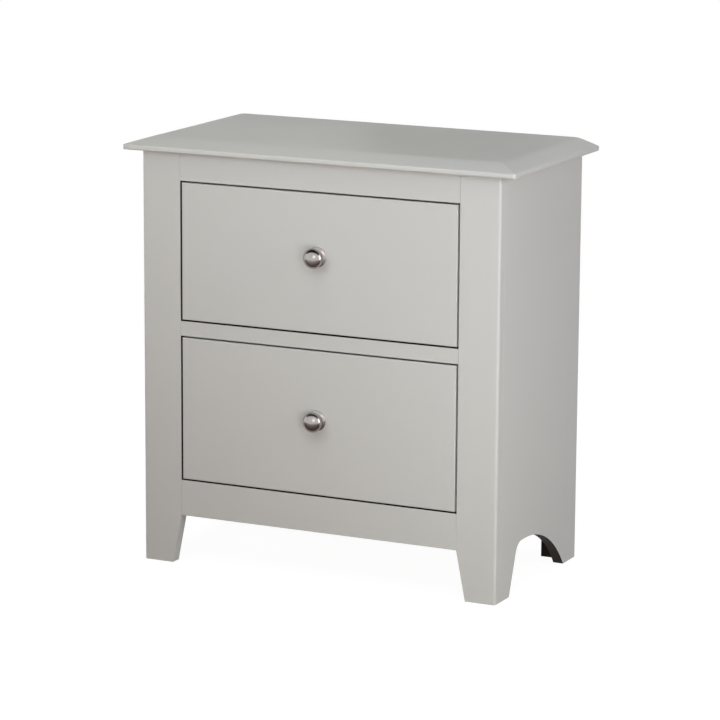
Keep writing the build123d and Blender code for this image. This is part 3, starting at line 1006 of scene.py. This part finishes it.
@dataclass
class Case:
    """Face frame, sides, top and back, with the hidden wood that holds them together."""

    paint: SatinPaint = SatinPaint()
    # Dark staining for the hidden wood, set dark enough to be painted shade under the case.
    stain: DarkStain = DarkStain()
    board: Hardboard = Hardboard()
    guide_wood: BareWood = BareWood(name="guide_hardwood", early=(0.56, 0.37, 0.20), late=(0.40, 0.24, 0.12))
    nylon: MouldedNylon = MouldedNylon()
    zinc: ZincPlate = ZincPlate()
    nail: FlatNail = FlatNail()
    nail_inset: float = 0.010
    nail_pitch: float = 0.080
    joint_ease: float = 0.0006
    board_ease: float = 0.0003
    corner_paint: float = 0.006

    def build(self) -> None:
        """Dress every node of the case and add the back's nails."""
        self.dress_face_frame()
        self.dress_shell()
        self.dress_hidden_wood()
        self.dress_guides()
        self.nail_back()

    def dress_face_frame(self) -> None:
        """Paint the stiles and rails, with the grain along each, and darken their faces in the drawer gaps as
        painted shade.
        """
        edges = EasedEdges(self.joint_ease)
        rail_low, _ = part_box("bottom_rail")
        _, stile_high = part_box("right_front_stile")
        outer = stile_high.x - self.corner_paint
        finish = PaintedFrame(front=rail_low.y, foot_top=rail_low.z, outer=outer)
        for side in Side:
            dress(f"{side.word}_front_stile", finish.material(Grain.UPRIGHT), edges)
        for rail in ("top_rail", "middle_rail", "bottom_rail"):
            dress(rail, finish.material(Grain.ACROSS), edges)

    def dress_shell(self) -> None:
        """Paint the top and sides, with painted shade in the sides' arches, and finish the back panel."""
        dress("top_panel", self.paint.material(Grain.ACROSS))
        for side in Side:
            finish = PaintedSide(name=f"painted_{side.word}_side", side=side)
            dress(f"{side.word}_side_panel", finish.material(Grain.UPRIGHT), EasedEdges(self.board_ease))
        dress("back_panel", self.board.material(Grain.ACROSS))

    def dress_hidden_wood(self) -> None:
        """Give the rear frame, the web, the cleats and the corner blocks the dark staining, which is also
        painted shade under the case.
        """
        edges = EasedEdges(self.board_ease)
        for side in Side:
            dress(f"{side.word}_rear_post", self.stain.material(Grain.UPRIGHT), edges)
            dress(f"{side.word}_top_cleat", self.stain.material(Grain.DEEP))
            dress(f"{side.word}_corner_block", self.stain.material(Grain.UPRIGHT), edges)
        for rail in ("rear_top_rail", "rear_middle_rail", "rear_bottom_rail", "bottom_web_rail"):
            dress(rail, self.stain.material(Grain.ACROSS))

    def dress_guides(self) -> None:
        """Finish the guide tracks, the glides and the case's screws."""
        for level in Level:
            dress(f"{level.value}_guide_track", self.guide_wood.material(Grain.DEEP))
            dress(f"{level.value}_rail_glides", self.nylon.material())
        dress("track_screws", self.zinc.material())

    def nail_back(self) -> None:
        """Build the flat-headed nails round the back panel's edge as one piece."""
        low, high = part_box("back_panel")
        spots = self.nail_spots(low, high)
        shape = bmesh.new()
        for x, z in spots:
            self.nail.add(shape, Vector((x, high.y, z)))
        nails = add_built("back_panel_nails", shape, self.zinc.material())
        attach(nails, Body.CASE.value)
        log.info("built %s with %d heads", nails.name, len(spots))

    def nail_spots(self, low: Vector, high: Vector) -> list[Pair]:
        """Space nails evenly along the four edges of the back.

        Args:
            low: Lowest corner of the panel's box.
            high: Highest corner of the panel's box.

        Returns:
            The nails' places as pairs of x and z.
        """
        left, right = low.x + self.nail_inset, high.x - self.nail_inset
        bottom, top = low.z + self.nail_inset, high.z - self.nail_inset
        columns = round((right - left) / self.nail_pitch)
        rows = round((top - bottom) / self.nail_pitch)
        across = [left + (right - left) * step / columns for step in range(columns + 1)]
        upward = [bottom + (top - bottom) * step / rows for step in range(1, rows)]
        level_rows = [(x, z) for x in across for z in (bottom, top)]
        return level_rows + [(x, z) for z in upward for x in (left, right)]


@dataclass
class Drawer:
    """One drawer: its painted front, dovetailed box, guide clip, screws and knob."""

    level: Level
    paint: SatinPaint = SatinPaint()
    wood: BareWood = BareWood()
    board: Hardboard = Hardboard()
    nylon: MouldedNylon = MouldedNylon()
    zinc: ZincPlate = ZincPlate()
    screw: PanScrew = PanScrew()
    board_ease: float = 0.00025
    board_segments: int = 1
    knob_ease: float = 0.0006
    knob_segments: int = 3
    knob_sharp_angle: float = 20.0

    def build(self) -> None:
        """Dress every node of the drawer and build its screws."""
        dress(self.node("drawer_front"), self.paint.material(Grain.ACROSS))
        self.dress_box()
        self.dress_fittings()
        self.dress_knob()

    def node(self, piece: str) -> str:
        """Return the name that a piece of this drawer has as a node."""
        return f"{self.level.value}_{piece}"

    def dress_box(self) -> None:
        """Finish the box's boards, with the grain along each."""
        edges = EasedEdges(self.board_ease, self.board_segments)
        for board, grain in (
            ("box_front", Grain.ACROSS),
            ("box_back", Grain.ACROSS),
            ("box_left_side", Grain.DEEP),
            ("box_right_side", Grain.DEEP),
        ):
            dress(self.node(board), self.wood.material(grain), edges)
        dress(self.node("drawer_bottom"), self.board.material(Grain.ACROSS))

    def dress_fittings(self) -> None:
        """Finish the guide clip and build the cross-headed screws."""
        dress(self.node("guide_clip"), self.nylon.material())
        for screws in ("front_screws", "clip_screws", "knob_screw"):
            self.screw.stand_for(self.node(screws), self.level.body, self.zinc)

    def dress_knob(self) -> None:
        """Give the knob its turned satin finish, centred on its own axis."""
        knob = self.node("knob")
        low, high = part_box(knob)
        nickel = SatinNickel(name=f"satin_nickel_{self.level.value}", axis_height=(low.z + high.z) / 2)
        edges = EasedEdges(self.knob_ease, self.knob_segments, self.knob_sharp_angle)
        dress(knob, nickel.material(Grain.DEEP), edges)


@dataclass(frozen=True)
class Softbox:
    """A square lamp that hangs at a place and faces another."""

    name: str
    place: Place
    size: float
    power: float
    colour: Colour = WHITE
    target: Place = CASE_MIDDLE

    def hang(self) -> None:
        """Make the lamp, turn it towards its target and keep its outline out of the reflections."""
        lamp = bpy.data.lights.new(self.name, "AREA")
        lamp.shape = "SQUARE"
        lamp.size = self.size
        lamp.energy = self.power
        lamp.color = self.colour
        softbox = bpy.data.objects.new(self.name, lamp)
        softbox.location = self.place
        softbox.rotation_euler = (Vector(self.place) - Vector(self.target)).to_track_quat("Z", "Y").to_euler()
        softbox.visible_glossy = False
        bpy.context.collection.objects.link(softbox)
        log.info("hung %s", softbox.name)


@dataclass(frozen=True)
class MirrorCard:
    """A glowing card or a dark one that only mirrored rays see: painted highlights and painted reflections on
    the metal and the paint, lighting nothing.
    """

    name: str
    place: Place
    target: Place
    size: Pair
    tone: Colour
    end_tone: Colour | None = None
    fade: Span = WHOLE

    def stand(self) -> None:
        """Build the card, turn it towards its target and hide it from all but glossy rays."""
        card = add_sheet(self.name, self.size, self.material())
        card.location = self.place
        card.rotation_euler = (Vector(self.target) - Vector(self.place)).to_track_quat("Z", "Y").to_euler()
        card.visible_camera = False
        card.visible_diffuse = False
        card.visible_shadow = False
        card.visible_transmission = False
        log.info("stood %s", card.name)

    def material(self) -> Material:
        """Make a glow that fades from the card's tone to its end tone, if it has one.

        Returns:
            The card's material.
        """
        material, graph = node_material(self.name)
        glow = graph.add("Emission", Color=(*self.tone, 1.0))
        if self.end_tone:
            along = graph.add("SeparateXYZ", Vector=graph.add("TexCoord").outputs["Generated"])
            share = graph.share(along.outputs["Y"], self.fade)
            graph.fill(glow.inputs["Color"], graph.blend(share, self.tone, self.end_tone))
        graph.add("OutputMaterial", Surface=glow.outputs["Emission"])
        return material


@dataclass
class Studio:
    """Floor, room light, lamps, cards and the camera at the photograph's viewing angle."""

    floor_reach: float = 9.0
    floor_glow: float = 1.06
    shadow_share: float = 0.10
    shadow_reach: Span = (0.7, 1.7)
    floor_bounce: Colour = (0.23, 0.165, 0.14)
    sky: Colour = (0.12, 0.12, 0.12)
    ground: Colour = BLACK
    sky_rise: Span = (-0.2, 0.4)
    softboxes: tuple[Softbox, ...] = (
        Softbox("front_softbox", (0.75, -2.4, 0.47), size=1.0, power=11.2, colour=(1.08, 0.97, 0.94)),
        Softbox("side_softbox", (2.3, -0.35, 1.0), size=1.0, power=18.5, colour=(1.0, 1.0, 0.99)),
        Softbox("overhead_softbox", (0.0, -0.6, 2.65), size=1.2, power=9.6, colour=(1.05, 1.05, 0.9)),
        Softbox("high_softbox", (0.2, -1.45, 2.25), size=1.2, power=7.6, colour=(1.03, 1.02, 0.95)),
        Softbox(
            name="near_softbox",
            place=(-0.30, -0.75, 0.80),
            target=(-0.1, -0.14, 0.55),
            size=0.4,
            power=1.4,
            colour=(1.03, 1.03, 0.94),
        ),
        Softbox(
            name="low_softbox",
            place=(0.75, -0.95, 0.25),
            target=(0.25, -0.14, 0.15),
            size=0.4,
            power=3.4,
            colour=(1.0, 1.05, 0.95),
        ),
        Softbox(
            name="corner_softbox",
            place=(0.65, -0.85, 0.95),
            target=(0.25, -0.14, 0.62),
            size=0.35,
            power=1.9,
            colour=(0.87, 0.97, 1.15),
        ),
        Softbox("rear_softbox", (-0.35, 2.35, 0.46), size=1.2, power=30.0),
        Softbox("left_softbox", (-2.4, 0.25, 0.46), size=1.2, power=26.0),
    )
    # The cards are painted reflections: the bright ones put highlights and the dark ones dark bands into the
    # knobs and the paint's sheen, lighting nothing.
    cards: tuple[MirrorCard, ...] = (
        MirrorCard(
            name="overhead_card",
            place=(-0.3, -0.25, 1.3),
            target=(-0.3, -0.25, 0.0),
            size=(3.2, 0.8),
            tone=(0.012, 0.012, 0.012),
        ),
        MirrorCard(
            name="floor_card",
            place=(-0.2, -1.245, 0.002),
            target=(-0.2, -1.245, 1.0),
            size=(3.6, 2.2),
            tone=(0.085, 0.046, 0.040),
            end_tone=(0.95, 0.93, 0.92),
            fade=(0.03, 0.80),
        ),
        MirrorCard(
            name="front_card",
            place=(0.95, -2.8, 1.5),
            target=DRAWER_FRONTS,
            size=(1.2, 1.2),
            tone=(2.4, 2.15, 2.15),
        ),
        MirrorCard(
            name="right_card",
            place=(2.0, -0.30, 0.85),
            target=DRAWER_FRONTS,
            size=(0.9, 1.2),
            tone=(5.0, 5.0, 4.9),
        ),
        MirrorCard(
            name="horizon_card",
            place=(0.045, 0.28, 0.785),
            target=(0.045, -0.72, 0.785),
            size=(0.33, 0.17),
            tone=(0.5, 0.5, 0.5),
            end_tone=BLACK,
            fade=(0.0, 0.3),
        ),
    )
    lens: float = 169.5
    sensor: float = 36.0
    yaw: float = 25.59
    pitch: float = 11.84
    roll: float = 0.35
    stand: Place = (2.121, -4.422, 1.333)

    def build(self) -> None:
        """Set up everything round the object."""
        bpy.context.scene.view_settings.view_transform = "Standard"
        self.lay_floor()
        self.light_room()
        for softbox in self.softboxes:
            softbox.hang()
        for card in self.cards:
            card.stand()
        self.place_camera()

    def seen(self, graph: ShaderGraph) -> Socket:
        """Pick out the rays that show the background: camera, glossy and transmission rays.

        Args:
            graph: Graph of the floor or the room.

        Returns:
            1 for those rays and 0 for the others.
        """
        path = graph.add("LightPath")
        mirrored = graph.math("MAXIMUM", path.outputs["Is Glossy Ray"], path.outputs["Is Transmission Ray"])
        return graph.math("MAXIMUM", path.outputs["Is Camera Ray"], mirrored)

    def lay_floor(self) -> None:
        """Build a pale floor that keeps the object's soft shadow near it."""
        side = 2 * self.floor_reach
        floor = add_sheet("floor", (side, side), self.floor_material())
        log.info("laid the %s", floor.name)

    def floor_material(self) -> Material:
        """Make the floor white to the camera, with a shadow, and darker to bounced light.

        Returns:
            The floor's material.
        """
        material, graph = node_material("pale_floor")
        distance = graph.length(graph.place())
        share = graph.span(distance, (self.shadow_share, 0.0), self.shadow_reach)
        strength = graph.span(share, (1.0, self.floor_glow), (0.0, self.shadow_share))
        glow = graph.add("Emission", Strength=strength).outputs["Emission"]
        shadowed = graph.add("BsdfDiffuse", Color=(*WHITE, 1.0)).outputs["BSDF"]
        bounce = graph.add("BsdfDiffuse", Color=(*self.floor_bounce, 1.0)).outputs["BSDF"]
        mixed = graph.mix(self.seen(graph), bounce, graph.mix(share, glow, shadowed))
        graph.add("OutputMaterial", Surface=mixed)
        return material

    def light_room(self) -> None:
        """Give the room a white background and a soft light that is dimmer from below."""
        world = bpy.data.worlds.new("studio")
        world.use_nodes = True
        bpy.context.scene.world = world
        graph = ShaderGraph(world.node_tree)
        direction = graph.add("SeparateXYZ", Vector=graph.add("TexCoord").outputs["Generated"])
        height = graph.share(direction.outputs["Z"], self.sky_rise)
        soft = graph.add("Background", Color=graph.blend(height, self.ground, self.sky))
        white = graph.add("Background", Color=(*WHITE, 1.0))
        mixed = graph.mix(self.seen(graph), soft.outputs["Background"], white.outputs["Background"])
        graph.add("OutputWorld", Surface=mixed)
        log.info("lit the room")

    def place_camera(self) -> None:
        """Place the camera where the photograph was taken."""
        camera = bpy.data.objects.new("camera", bpy.data.cameras.new("camera"))
        camera.data.lens = self.lens
        camera.data.sensor_width = self.sensor
        turn = Matrix.Rotation(radians(self.yaw), 4, "Z")
        tilt = Matrix.Rotation(radians(90.0 - self.pitch), 4, "X")
        level = Matrix.Rotation(radians(self.roll), 4, "Z")
        camera.matrix_world = Matrix.Translation(self.stand) @ turn @ tilt @ level
        bpy.context.collection.objects.link(camera)
        bpy.context.scene.camera = camera
        log.info("placed the camera")


def main() -> None:
    """Dress the case and both drawers, and set up the studio."""
    logging.basicConfig(level=logging.INFO, format="%(name)s: %(message)s")
    Case().build()
    for level in Level:
        Drawer(level).build()
    Studio().build()


if __name__ == "__main__":
    main()
